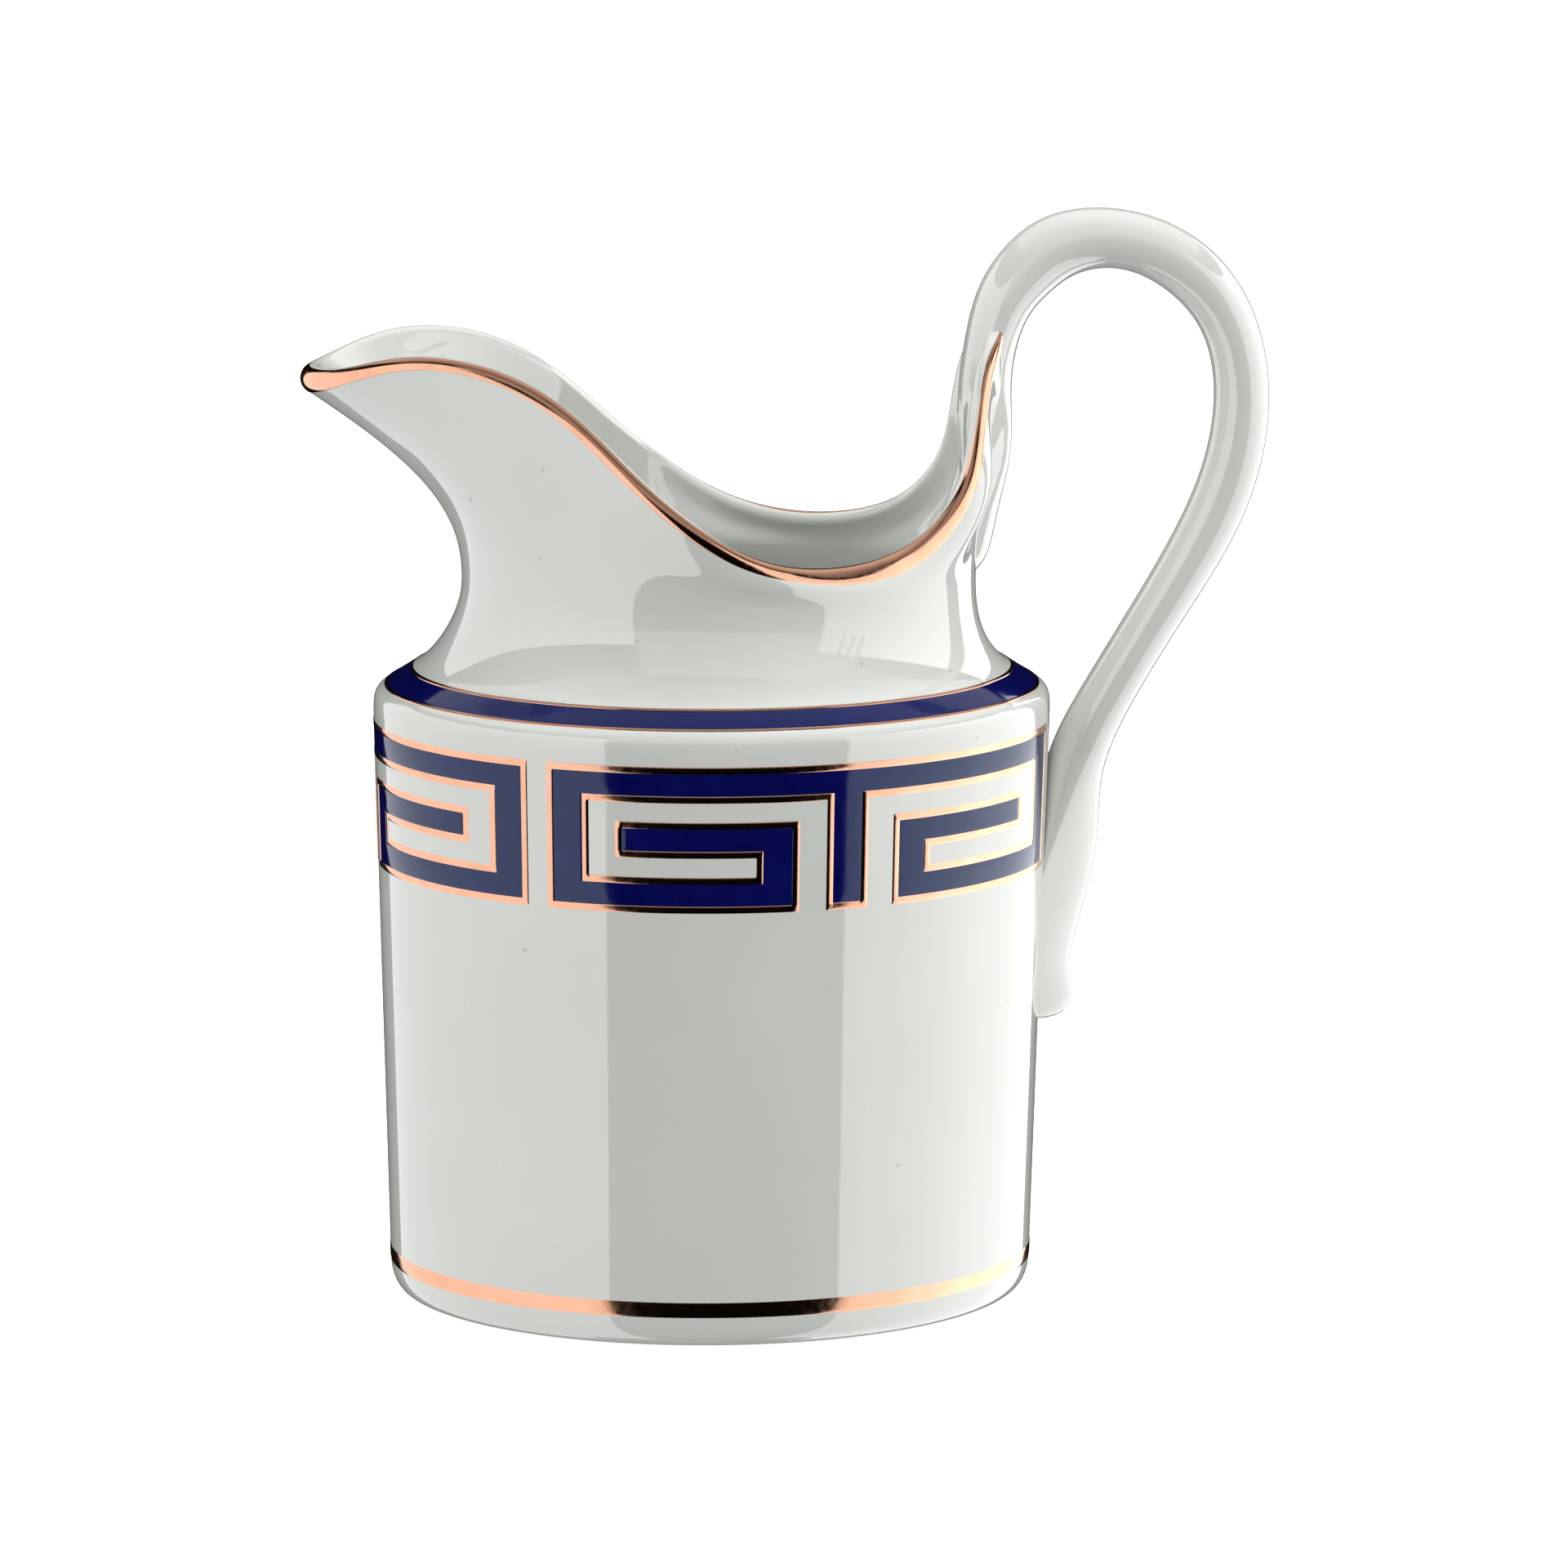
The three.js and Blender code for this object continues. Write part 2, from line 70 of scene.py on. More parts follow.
FOOT_OUTER = 37.6                # half-length of the foot ring's resting face, outside
FOOT_INNER = 34.2                # half-length of the foot ring's resting face, inside
FOOT_RECESS = 1.7                # height of the recess inside the foot ring
DRUM_BASE = (40.3, 3.9)          # (half-length, height) of the outside profile's corners
DRUM_TOP = (42.15, 73.6)
SLOPE_LOW = (41.1, 77.0)
SLOPE_HIGH = (36.9, 79.65)
WAIST = (31.95, 90.5)
WALL = 2.6                       # wall thickness of drum and neck
FLOOR_TOP = 5.2                  # height of the inside floor
LIP_RADIUS = 1.1                 # the lip is a half round of this radius
SPOUT_LIP = 1.75                 # the same at the spout's tip, where the lip is thicker
SPOUT_LIP_ANGLE = 14             # the lip thickens within this angle of the tip
SPOUT_FLARE = 0.95               # how much further out than up the wall runs into the spout's lip
WAIST_ARM = 0.35                 # the wall's curve leaves the waist with this share of its chord
LIP_ARM = 0.45                   # and reaches the lip with this share

SHOULDER_MARGIN = 0.35           # white between the slope's corner and the gold line
LINE_WIDTH = 0.5                 # gold lines on the shoulder
BASE_LINE = (base_low[2], base_high[2])
FRET_BOTTOM = fret_low[2]
FRET_HEIGHT = fret_high[2] - fret_low[2]
FRET_GOLD = 0.85                 # width of the gold outline
FRET_BAR = 5.35                  # width of an upright bar, gold included
FRET_BEAM = 4.45                 # height of a level bar, gold included
FRET_END_GAP = 3.25              # white space beyond a scroll's free end
FRET_SCROLL = 31.15              # length of a scroll, from the unit's end
FRET_UNIT_GAP = 2.6              # white space between two units
FRET_UNIT = 74.5                 # length of one unit
FRET_FRONT_START = -23.0         # arc length from the front to the front unit's left end
HANDLE_CLEARING = 4.2            # the fret is trimmed this far beyond the handle's centre

GOLD_LIFT = 0.07                 # how far the gilding stands off the glaze
COBALT_LIFT = 0.03               # the same for the cobalt
BURIED = 0.12                    # how far both reach into the glaze
EDGE_ROUND = 0.14                # width of the rounding along an edge of gold or cobalt
FRET_EDGE_LIFT = 0.004           # how far the edge of a fret piece still stands off the glaze
FRET_GRID = (0.8, 1.6)           # widest steps of the fret's mesh, along and up
SHARP_ANGLE = math.radians(50)   # edges that turn by more than this are shaded sharp

# The rim's crest, half of it: (angle, x, y, z). The other half mirrors it.
RIM = [
    (0, 35.4, 0, 122.9),
    (7.5, 34.3, 5.2, 121.4),
    (14.5, 32.5, 8.9, 117.4),
    (21, 31.3, 10.9, 111.0),
    (28, 29.6, 12.0, 104.4),
    (36, 26.2, 13.7, 99.4),
    (49, 20.0, 17.1, 95.8),
    (65, 12.0, 20.7, 94.8),
    (82, 4.0, 24.2, 96.6),
    (99, -4.0, 25.7, 101.2),
    (116, -12.0, 22.8, 107.9),
    (131, -20.0, 18.3, 115.0),
    (142, -28.0, 15.9, 119.0),
    (152, -36.0, 13.4, 120.2),
    (163, -43.0, 10.8, 119.0),
    (172, -47.8, 6.8, 117.4),
    (180, -50.6, 0, 116.7),
]

# How far the gilding runs down the outside below the lip: (angle, length).
SKIRT = [(0, 0.1), (12, 0.15), (24, 0.5), (36, 1.3), (48, 1.8), (60, 1.8), (74, 1.1), (90, 0.5),
         (115, 0.3), (135, 0.35), (152, 0.15), (168, 0.12), (180, 0.3)]
GILT_START = 6.0                 # angle at which the gilding ends in a point on the handle's side
GILT_FULL = 14.0                 # angle from which it covers the whole lip
SKIRT_SHARE = 0.35               # share of the gilding's rows that lie below the lip
END_SPREAD = 6.0                 # degrees of the lip over which those rows spread at its ends
GILT_STEPS = 640                 # steps round the rim
GILT_POINT = (42.0, 60.0)        # the gilding's ends cover the lip between these turns
WALL_SPEED = 1.35                # the wall curve's length near the lip, per chord and unit of t
GILT_OVER = [(0, 79), (120, 80), (150, 85), (170, 105), (180, 125)]   # (angle, reach round the lip)

# The handle in the plane y = 0, from its leaf-shaped upper end to its rounded lower end:
# (outside x, outside z, inside x, inside z, half width). Outside means away from the loop.
HANDLE = [
    (31.0, 90.0, 31.7, 90.0, 0.8),
    (31.2, 91.2, 33.2, 91.4, 2.2),
    (31.2, 94.5, 34.7, 94.5, 3.7),
    (31.1, 98.9, 35.6, 98.9, 4.4),
    (30.7, 105.0, 36.7, 105.0, 4.6),
    (30.35, 110.0, 36.9, 110.5, 4.7),
    (30.55, 115.0, 37.15, 116.0, 4.8),
    (31.15, 119.4, 38.0, 120.2, 4.9),
    (32.05, 123.8, 39.5, 123.4, 4.8),
    (34.3, 129.0, 42.2, 126.2, 4.5),
    (39.6, 134.3, 45.0, 128.0, 4.2),
    (48.0, 136.2, 49.0, 128.7, 4.0),
    (57.9, 133.6, 54.2, 127.2, 4.0),
    (66.2, 125.2, 60.2, 121.6, 4.0),
    (69.3, 112.5, 62.4, 112.5, 4.0),
    (66.9, 99.0, 60.4, 101.8, 4.0),
    (59.9, 86.0, 54.0, 88.9, 4.0),
    (52.6, 73.8, 46.6, 76.4, 4.1),
    (49.1, 65.0, 42.0, 66.6, 4.3),
    (48.5, 57.0, 40.8, 57.4, 4.4),
    (46.6, 47.4, 40.3, 47.5, 4.3),
    (45.4, 42.6, 40.1, 42.6, 3.7),
    (45.2, 40.2, 40.0, 40.2, 3.4),
    (45.65, 37.5, 39.9, 38.0, 3.4),
    (45.2, 35.4, 39.8, 36.2, 3.2),
    (43.8, 34.1, 39.8, 35.2, 2.8),
    (42.2, 33.8, 39.8, 34.6, 2.0),
    (40.9, 33.9, 39.8, 34.1, 1.2),
]
HANDLE_SIDES = 64
HANDLE_RINGS = 320
UPPER_ROOT = (108.0, 122.0)      # heights between which the upper root turns into the free handle
LOWER_ROOT = (48.0, 70.0)        # the same for the lower root
UPPER_SHARE = 0.25               # the upper root lies in this first share of the handle's length
LOWER_SHARE = 0.7                # the lower root lies beyond this share
ROOT_WIDTH = 1.18                # half width of a root's foot, per half width of the handle
ROOT_FILLET = 1.0                # power of the root's curve: above 1 it meets the wall smoothly
ROOT_EDGE = 0.5                  # how far the foot's edge is buried in the wall
ROOT_DEPTH = 1.3                 # how far the lower root is buried in the drum



# ---- camera --------------------------------------------------------------------------------------
CAMERA_TURN = math.radians(5.0)
CAMERA_RISE = math.radians(11.52)
CAMERA_ROLL = math.radians(0.3)
CAMERA_DISTANCE = 1000.0
CAMERA_TARGET = Vector((9.03 + AXIS_X, 0, 64.02))
LENS = 183.8
SENSOR = 36
CLIP = (0.05, 50)                # metres


def make_camera():
    data = bpy.data.cameras.new("camera")
    data.lens = LENS
    data.sensor_width = SENSOR
    data.clip_start, data.clip_end = CLIP
    camera = bpy.data.objects.new("camera", data)
    bpy.context.scene.collection.objects.link(camera)
    back = Vector((-math.sin(CAMERA_TURN) * math.cos(CAMERA_RISE),
                   -math.cos(CAMERA_TURN) * math.cos(CAMERA_RISE),
                   math.sin(CAMERA_RISE)))
    level = Vector((math.cos(CAMERA_TURN), -math.sin(CAMERA_TURN), 0))
    rise = back.cross(level)
    right = level * math.cos(CAMERA_ROLL) + rise * math.sin(CAMERA_ROLL)
    up = rise * math.cos(CAMERA_ROLL) - level * math.sin(CAMERA_ROLL)
    turn = Matrix((right, up, back)).transposed()
    place_at = (CAMERA_TARGET + back * CAMERA_DISTANCE) * MM
    camera.matrix_world = Matrix.Translation(place_at) @ turn.to_4x4()
    bpy.context.scene.camera = camera


# ---- materials -----------------------------------------------------------------------------------
def new_material(name):
    material = bpy.data.materials.new(name)
    material.use_nodes = True
    nodes = material.node_tree.nodes
    return material, nodes, material.node_tree.links, nodes["Principled BSDF"]


def noise(nodes, links, scale, detail=3.0):
    coordinates = nodes.new("ShaderNodeTexCoord")
    texture = nodes.new("ShaderNodeTexNoise")
    texture.inputs["Scale"].default_value = scale
    texture.inputs["Detail"].default_value = detail
    links.new(coordinates.outputs["Object"], texture.inputs["Vector"])
    return texture.outputs["Fac"]


def ramp(nodes, links, value, low, high, at_low, at_high):
    """A colour or grey that runs from at_low, where value is low, to at_high."""
    node = nodes.new("ShaderNodeValToRGB")
    for stop, place_at, colour in zip(node.color_ramp.elements, (low, high), (at_low, at_high)):
        stop.position = place_at
        stop.color = (*colour, 1) if hasattr(colour, "__len__") else (colour, colour, colour, 1)
    links.new(value, node.inputs["Fac"])
    return node.outputs["Color"]


def mix(nodes, links, kind, factor, first, second):
    node = nodes.new("ShaderNodeMix")
    node.data_type = "RGBA"
    node.blend_type = kind
    for socket, value in zip((node.inputs[0], node.inputs[6], node.inputs[7]), (factor, first, second)):
        if isinstance(value, bpy.types.NodeSocket):
            links.new(value, socket)
        else:
            socket.default_value = value
    return node.outputs[2]


def bump(nodes, links, height, strength, distance, shader):
    node = nodes.new("ShaderNodeBump")
    node.inputs["Strength"].default_value = strength
    node.inputs["Distance"].default_value = distance
    links.new(height, node.inputs["Height"])
    links.new(node.outputs["Normal"], shader.inputs["Normal"])


def porcelain_material():
    """Cool white glaze with faint clouding and rare specks; the foot's resting face is bare."""
    material, nodes, links, shader = new_material("porcelain_glaze")
    clouds = ramp(nodes, links, noise(nodes, links, 45), 0.3, 0.7,
                  (0.70, 0.715, 0.675), (0.735, 0.75, 0.71))
    specks = ramp(nodes, links, noise(nodes, links, 620, 0), 0.875, 0.91, 1.0, 0.78)
    glaze = mix(nodes, links, "MULTIPLY", 1.0, clouds, specks)
    coordinates = nodes.new("ShaderNodeTexCoord")
    split = nodes.new("ShaderNodeSeparateXYZ")
    links.new(coordinates.outputs["Object"], split.inputs[0])
    height = nodes.new("ShaderNodeMapRange")
    height.inputs["From Min"].default_value = 0.25 * MM
    height.inputs["From Max"].default_value = 0.5 * MM
    links.new(split.outputs["Z"], height.inputs["Value"])
    biscuit = ramp(nodes, links, noise(nodes, links, 900), 0.3, 0.7,
                   (0.60, 0.585, 0.54), (0.68, 0.665, 0.62))
    links.new(mix(nodes, links, "MIX", height.outputs[0], biscuit, glaze), shader.inputs["Base Color"])
    sheen = ramp(nodes, links, noise(nodes, links, 80), 0.3, 0.7, 0.035, 0.06)
    links.new(mix(nodes, links, "MIX", height.outputs[0], (0.6, 0.6, 0.6, 1), sheen),
              shader.inputs["Roughness"])
    bump(nodes, links, noise(nodes, links, 130, 1), 0.05, 0.1 * MM, shader)
    shader.inputs["IOR"].default_value = 1.85
    return material


def cobalt_material():
    """Deep blue under the glaze, a little uneven as a fired print is."""
    material, nodes, links, shader = new_material("cobalt_glaze")
    wash = ramp(nodes, links, noise(nodes, links, 260), 0.25, 0.75,
                (0.0022, 0.0030, 0.082), (0.0035, 0.0048, 0.118))
    grain = ramp(nodes, links, noise(nodes, links, 2600, 1), 0.2, 0.8, 0.86, 1.0)
    links.new(mix(nodes, links, "MULTIPLY", 1.0, wash, grain), shader.inputs["Base Color"])
    polish = ramp(nodes, links, noise(nodes, links, 700), 0.3, 0.7, 0.05, 0.1)
    links.new(polish, shader.inputs["Roughness"])
    bump(nodes, links, noise(nodes, links, 900), 0.04, 0.05 * MM, shader)
    shader.inputs["IOR"].default_value = 1.46
    shader.inputs["Specular Tint"].default_value = (0.8, 1.0, 1.0, 1)
    return material


def gold_material():
    """Burnished rose gold, with brushed-on unevenness in colour and polish."""
    material, nodes, links, shader = new_material("rose_gold")
    tone = ramp(nodes, links, noise(nodes, links, 300), 0.3, 0.7,
                (0.60, 0.315, 0.205), (0.66, 0.36, 0.245))
    links.new(tone, shader.inputs["Base Color"])
    polish = ramp(nodes, links, noise(nodes, links, 1200), 0.3, 0.7, 0.09, 0.17)
    links.new(polish, shader.inputs["Roughness"])
    bump(nodes, links, noise(nodes, links, 800), 0.05, 0.05 * MM, shader)
    shader.inputs["Metallic"].default_value = 1.0
    return material


PORCELAIN = porcelain_material()
COBALT = cobalt_material()
GOLD = gold_material()


# ---- meshes --------------------------------------------------------------------------------------
def place(points):
    return (np.asarray(points, float) + (AXIS_X, 0, 0)) * MM


def make_piece(name, points, faces, material, node):
    """A closed piece that rides on the jug and stands for one CAD node."""
    mesh = bpy.data.meshes.new(name)
    mesh.from_pydata(place(points).tolist(), [], faces)
    mesh.materials.append(material)
    mesh.shade_smooth()
    mesh.set_sharp_from_angle(angle=SHARP_ANGLE)
    piece = bpy.data.objects.new(name, mesh)
    bpy.context.scene.collection.objects.link(piece)
    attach(piece, "root")
    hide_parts(node)


def ring_faces(rings, count, closed):
    """Quads between neighbouring rings of count points; closed joins the last ring to the first."""
    faces = []
    for r in range(rings if closed else rings - 1):
        low = r * count
        high = (r + 1) % rings * count
        for c in range(count):
            d = (c + 1) % count
            faces.append((low + c, low + d, high + d, high + c))
    return faces


def lathed_solid(rings, first, last):
    """Points and faces of rings closed by a pole at each end."""
    count = len(rings[0])
    faces = ring_faces(len(rings), count, closed=False)
    top = (len(rings) - 1) * count
    points = np.vstack([*rings, [first], [last]])
    for c in range(count):
        d = (c + 1) % count
        faces.append((len(points) - 2, d, c))
        faces.append((len(points) - 1, top + c, top + d))
    return points, faces


def bezier(a, b, c, d, t):
    """Points on a cubic from a to d at each t, which has one entry for each row of the result."""
    a, b, c, d = (np.asarray(p, float) for p in (a, b, c, d))
    t = np.asarray(t, float)[..., None]
    return (1 - t) ** 3 * a + 3 * (1 - t) ** 2 * t * b + 3 * (1 - t) * t ** 2 * c + t ** 3 * d


def smoothstep(value, low, high):
    t = np.clip((np.asarray(value, float) - low) / (high - low), 0, 1)
    return t * t * (3 - 2 * t)


def spline(keys, values, at):
    """A natural cubic spline through values at keys, evaluated at `at`."""
    keys = np.asarray(keys, float)
    values = np.asarray(values, float)
    span = np.diff(keys)[:, None]
    rate = np.diff(values, axis=0) / span
    count = len(keys)
    matrix = np.eye(count)
    right = np.zeros_like(values)
    for i in range(1, count - 1):
        matrix[i, i - 1:i + 2] = span[i - 1, 0], 2 * (span[i - 1, 0] + span[i, 0]), span[i, 0]
        right[i] = 6 * (rate[i] - rate[i - 1])
    bend = np.linalg.solve(matrix, right)
    i = np.clip(np.searchsorted(keys, at, side="right") - 1, 0, count - 2)
    t = (np.asarray(at, float) - keys[i])[:, None]
    slope = rate[i] - span[i] * (2 * bend[i] + bend[i + 1]) / 6
    return values[i] + t * (slope + t * (bend[i] / 2 + t * (bend[i + 1] - bend[i]) / (6 * span[i])))


# ---- the body's surfaces -------------------------------------------------------------------------
def profile(start, *curves):
    """(half-length, height) pairs: each curve is (first arm, second arm, end, steps) or (end, steps)."""
    points = [np.asarray(start, float)]
    for *arms, end, steps in curves:
        arms = arms or [points[-1] + (np.asarray(end) - points[-1]) / 3,
                        points[-1] + (np.asarray(end) - points[-1]) * 2 / 3]
        points.extend(bezier(points[-1], *arms, end, np.arange(1, steps + 1) / steps))
    return points


def oval(point, degrees, offset=0.0):
    """The body's plan at a profile point, pushed out by offset."""
    a, z = point
    necking = smoothstep(z, SLOPE_HIGH[1], WAIST[1])
    ratio = OVAL_DRUM + (OVAL_WAIST - OVAL_DRUM) * necking
    turn = np.radians(degrees)
    return np.stack([
        (a + offset) * np.cos(turn) + WAIST_SHIFT * necking,
        (a * ratio + offset) * np.sin(turn),
        np.full_like(turn, z),
    ], axis=-1)


mirrored = [(360 - angle, x, -y, z) for angle, x, y, z in RIM[-2:0:-1]]
whole_rim = np.array(RIM + mirrored)
rim_table = np.vstack([whole_rim - (360, 0, 0, 0), whole_rim, whole_rim + (360, 0, 0, 0)])


def rim(degrees):
    return spline(rim_table[:, 0], rim_table[:, 1:], np.mod(degrees, 360))


def unit(vectors):
    return vectors / np.linalg.norm(vectors, axis=-1, keepdims=True)


def lip(degrees):
    """The lip's centre line, its radius, and the ways up along the wall and out through it."""
    crest = rim(degrees)
    along = unit(rim(degrees + 0.5) - rim(degrees - 0.5))
    flare = 1 + SPOUT_FLARE * (1 - np.cos(np.radians(degrees))) / 2
    up = (crest - oval(WAIST, degrees)) * np.stack([flare, flare, np.ones_like(flare)], axis=-1)
    up = unit(up - along * np.sum(up * along, axis=-1, keepdims=True))
    out = unit(np.cross(along, up))
    tip = smoothstep(np.abs(np.mod(degrees, 360) - 180), SPOUT_LIP_ANGLE, 0)
    radius = (LIP_RADIUS + (SPOUT_LIP - LIP_RADIUS) * tip)[:, None]
    return crest - up * radius, radius, up, out


def neck_wall(degrees, side, t):
    """The wall from the waist to the lip, outside (side 1) or inside (side -1), at t for each angle."""
    centre, radius, up, out = lip(degrees)
    low = oval((WAIST[0] if side > 0 else WAIST[0] - WALL, WAIST[1]), degrees)
    high = centre + out * radius * side
    chord = np.linalg.norm(high - low, axis=-1, keepdims=True)
    return bezier(low, low + chord * (0, 0, WAIST_ARM), high - up * chord * LIP_ARM, high, t)


def lip_row(degrees, turn, offset=0.0):
    centre, radius, up, out = lip(degrees)
    turn = np.radians(turn)
    turn = np.broadcast_to(turn, degrees.shape)[:, None]
    return centre + (radius + offset) * (out * np.cos(turn) + up * np.sin(turn))


def drum_at(z):
    share = (z - DRUM_BASE[1]) / (DRUM_TOP[1] - DRUM_BASE[1])
    return DRUM_BASE[0] + (DRUM_TOP[0] - DRUM_BASE[0]) * share, z


columns = np.arange(COLUMNS) * 360.0 / COLUMNS

outside = profile(
    (FOOT_OUTER, 0),
    ((39.3, 0.1), (40.2, 1.5), DRUM_BASE, 12),
    (DRUM_TOP, 40),
    ((42.2, 75.6), (42.1, 76.4), SLOPE_LOW, 12),
    (SLOPE_HIGH, 6),
    ((34.3, 81.3), (WAIST[0], 85.6), WAIST, 20),
)
inside = profile(
    (6, FLOOR_TOP - 0.15),
    ((18, FLOOR_TOP - 0.1), (24, FLOOR_TOP), (30, FLOOR_TOP), 6),
    ((35.6, FLOOR_TOP), (37.7, 6.8), (37.9, 11), 12),
    ((DRUM_TOP[0] - WALL, DRUM_TOP[1] - 1), 20),
    ((39.5, 75.2), (38.6, 75.6), (35.6, 77.3), 10),
    ((32, 79.4), (WAIST[0] - WALL, 84.2), (WAIST[0] - WALL, WAIST[1]), 16),
)
underside = profile(
    (8, FOOT_RECESS + 0.3),
    ((FOOT_INNER - 2.4, FOOT_RECESS + 0.2), 5),
    ((FOOT_INNER - 1.2, FOOT_RECESS + 0.2), (FOOT_INNER - 0.9, 1.2), (FOOT_INNER - 0.5, 0.5), 6),
    ((FOOT_INNER - 0.35, 0.1), (FOOT_INNER - 0.1, 0), (FOOT_INNER + 0.3, 0), 5),
)

NECK_STEPS = 44                  # rings from the waist to the lip
LIP_STEPS = 18                   # steps over the lip
WALL_SAMPLES = 60                # samples up the wall where a root meets it
BACK_ANGLE = 40                  # the roots look this far to each side of the back


def make_body():
    rings = [oval(point, columns) for point in [*underside, *outside]]
    for step in range(1, NECK_STEPS + 1):
        rings.append(neck_wall(columns, 1, np.full(COLUMNS, step / NECK_STEPS)))
    for step in range(1, LIP_STEPS):
        rings.append(lip_row(columns, 180 * step / LIP_STEPS))
    for step in range(NECK_STEPS, 0, -1):
        rings.append(neck_wall(columns, -1, np.full(COLUMNS, step / NECK_STEPS)))
    rings.extend(oval(point, columns) for point in reversed(inside))
    points, faces = lathed_solid(rings, (0, 0, FOOT_RECESS + 0.3), (0, 0, FLOOR_TOP - 0.15))
    make_piece("porcelain_body", points, faces, PORCELAIN, "jug_body")


# ---- handle --------------------------------------------------------------------------------------
def back_wall(side):
    """The neck's outside (side 1) or inside (side -1) at its back: x for each y at one height."""
    t = np.linspace(0, 1, WALL_SAMPLES)
    angles = range(-BACK_ANGLE, BACK_ANGLE + 1)
    curves = [neck_wall(np.full(WALL_SAMPLES, angle), side, t) for angle in angles]

    def at(y, z):
        xs = [np.interp(z, curve[:, 2], curve[:, 0]) for curve in curves]
        ys = [np.interp(z, curve[:, 2], curve[:, 1]) for curve in curves]
        return np.interp(y, ys, xs)

    return at


def drum_wall(inset):
    """The drum's outside, moved in by inset: x for each y at one height."""
    def at(y, z):
        a = drum_at(z)[0]
        return a * np.sqrt(1 - np.square(y / (a * OVAL_DRUM))) - inset

    return at


def root_ring(ring, middle, half_width, outer, inner):
    """The ring of a root: its two sides swell out of, or sink into, the wall's two surfaces."""
    depth = np.max(np.abs(ring[:, 0] - middle[0]))
    across = np.clip(ring[:, 1] / half_width, -1, 1)
    y = across * half_width * ROOT_WIDTH
    fillet = (1 - across ** 2) ** ROOT_FILLET
    sides = []
    for wall, reach in ((outer, depth), (inner, -depth)):
        edge = -math.copysign(ROOT_EDGE, reach)
        swell = middle[0] + reach - wall(np.zeros(1), middle[2])[0]
        sides.append(wall(y, middle[2]) + edge + (swell - edge) * fillet)
    x = np.where(ring[:, 0] >= middle[0], *sides)
    return np.stack([x, y, ring[:, 2]], axis=-1)


def make_handle():
    stations = np.array(HANDLE)
    middle = (stations[:, 0:2] + stations[:, 2:4]) / 2
    keys = np.concatenate([[0], np.cumsum(np.linalg.norm(np.diff(middle, axis=0), axis=1))])
    at = np.linspace(0, keys[-1], HANDLE_RINGS)
    out_x, out_z, in_x, in_z, half = spline(keys, stations, at).T
    centre = np.stack([(out_x + in_x) / 2, np.zeros_like(at), (out_z + in_z) / 2], axis=-1)
    depth = np.stack([(out_x - in_x) / 2, np.zeros_like(at), (out_z - in_z) / 2], axis=-1)
    turns = np.arange(HANDLE_SIDES) * 2 * math.pi / HANDLE_SIDES
    neck_walls = back_wall(1), back_wall(-1)
    drum_walls = drum_wall(0), drum_wall(ROOT_DEPTH)

    def roots(along):
        yield along < UPPER_SHARE, UPPER_ROOT, neck_walls
        yield along > LOWER_SHARE, LOWER_ROOT, drum_walls

    rings = []
    for along, c, d, h in zip(at / keys[-1], centre, depth, half):
        ring = c + np.cos(turns)[:, None] * d
        ring[:, 1] = -h * np.sin(turns)
        for at_root, heights, walls in roots(along):
            free = float(smoothstep(c[2], *heights))
            if at_root and free < 1:
                root = root_ring(ring, c, h, *walls)
                ring = root + (ring - root) * free
        rings.append(ring)
    points, faces = lathed_solid(rings, centre[0], centre[-1])
    make_piece("porcelain_handle", points, faces, PORCELAIN, "handle")


# ---- gold lines and cobalt band round the body ---------------------------------------------------
ACROSS = np.array([0, 0.08, 0.2, 0.5, 0.8, 0.92, 1])
BULGE = np.array([0, 0.62, 0.95, 1, 0.95, 0.62, 0])


def make_band(name, low, high, lift, material, node):
    """A band between two points of a straight stretch of the profile, rounded along both edges."""
    low = np.array(low, float)
    high = np.array(high, float)
    along = unit(high - low)
    normal = np.array([along[1], -along[0]])

    def ring(share, offset):
        point = low + (high - low) * share
        result = oval(point, columns, offset * normal[0])
        result[:, 2] += offset * normal[1]
        return result

    rings = [ring(share, -BURIED) for share in (1, 0)]
    rings += [ring(share, lift * rise) for share, rise in zip(ACROSS, BULGE)]
    points = np.vstack(rings)
    make_piece(name, points, ring_faces(len(rings), COLUMNS, closed=True), material, node)


def make_bands():
    low = np.array(SLOPE_LOW)
    high = np.array(SLOPE_HIGH)
    length = np.linalg.norm(high - low)

    def at(distance):
        return low + (high - low) * distance / length

    inner = SHOULDER_MARGIN + LINE_WIDTH
    make_band("shoulder_line_low", at(SHOULDER_MARGIN), at(inner), GOLD_LIFT, GOLD,
              "shoulder_gold_line_lower")
    make_band("shoulder_band", at(inner), at(length - inner), COBALT_LIFT, COBALT,
              "shoulder_cobalt_band")
    make_band("shoulder_line_high", at(length - inner), at(length - SHOULDER_MARGIN), GOLD_LIFT, GOLD,
              "shoulder_gold_line_upper")
    make_band("base_line", drum_at(BASE_LINE[0]), drum_at(BASE_LINE[1]), GOLD_LIFT, GOLD,
              "base_gold_line")


